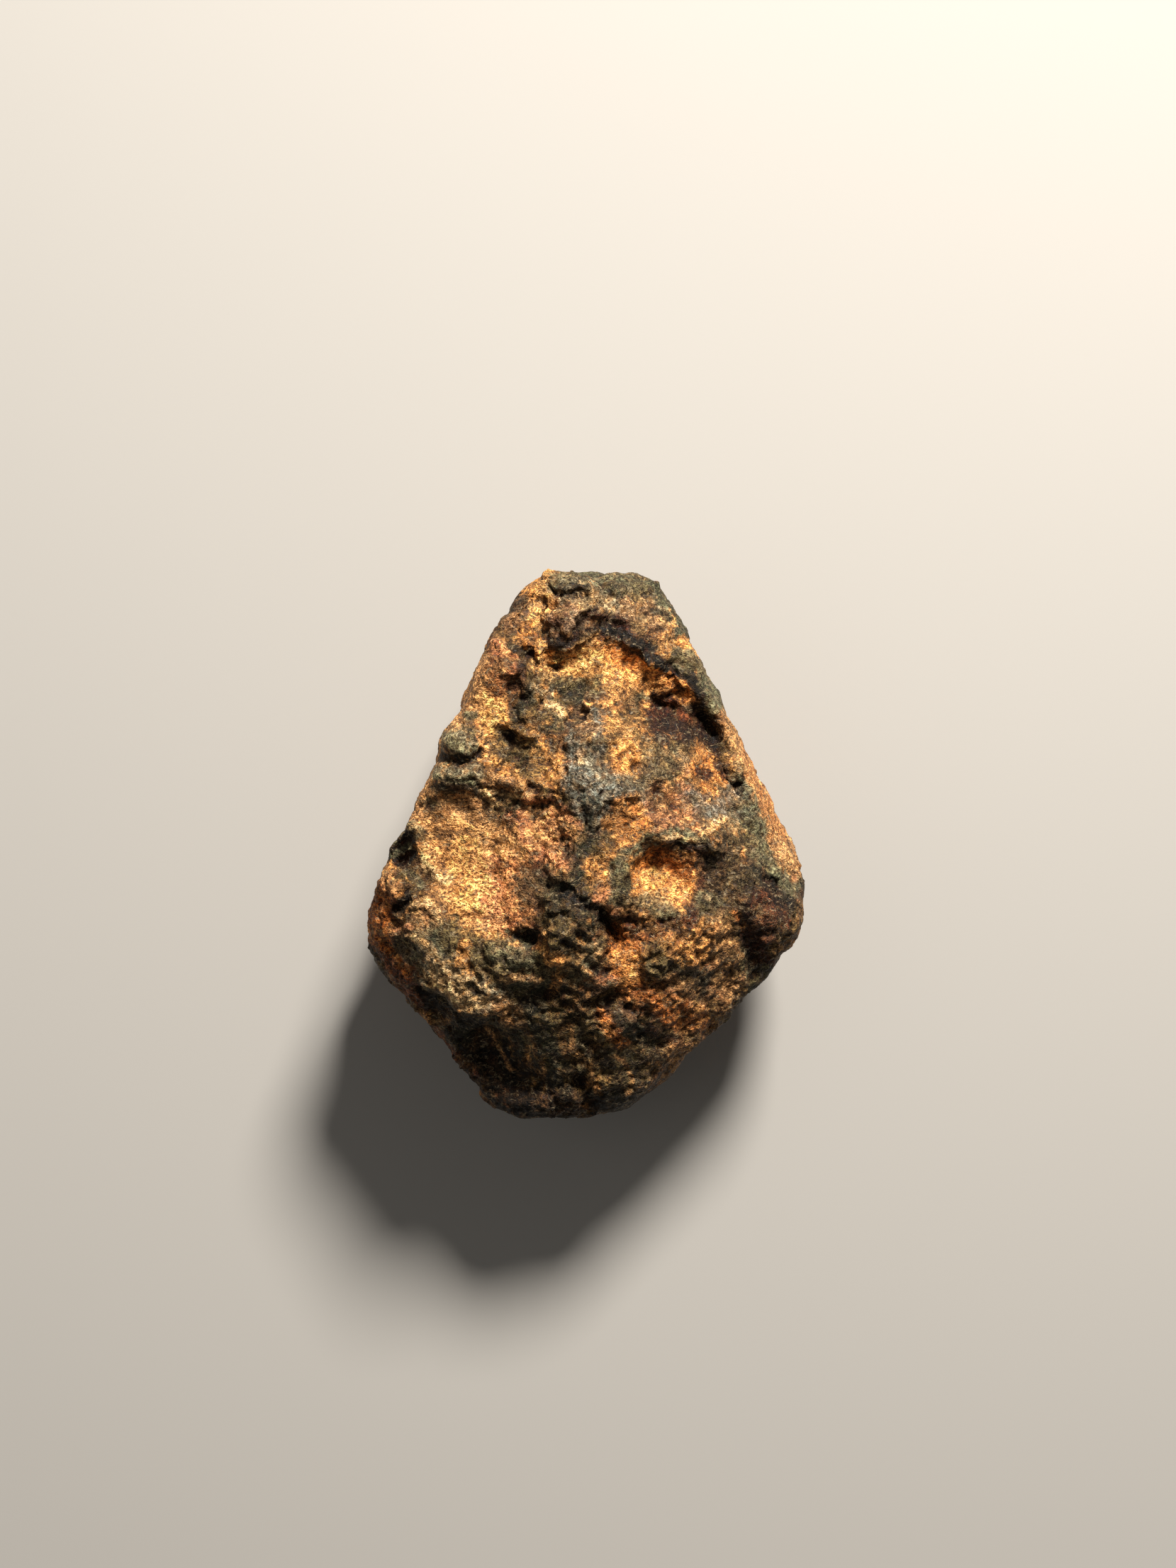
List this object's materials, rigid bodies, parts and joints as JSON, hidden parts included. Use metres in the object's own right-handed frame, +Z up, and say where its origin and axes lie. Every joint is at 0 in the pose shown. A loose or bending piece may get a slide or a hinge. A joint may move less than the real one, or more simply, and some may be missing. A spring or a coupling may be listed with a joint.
{
  "type": "iron meteorite",
  "caption": "Small weathered iron meteorite: an egg-shaped stone with a narrow ledged cap, shallow pits and a rusty fibrous crust, resting on a small flat spot.",
  "frame": {"origin": "centre of the bounding box on plan, at the height of the flat rest spot", "axes": "+Y along the stone, from its blunt end to its narrow cap; +Z up, out of the broad face; +X to the right of someone who looks down on the broad face with the cap away from them"},
  "size_m": [0.0104, 0.0132, 0.0074],
  "materials": {
    "rusty_crust": "matte, fibrous rust over dark metal"
  },
  "bodies": {
    "root": {"meteorite": "rusty_crust"}
  },
  "joints": []
}
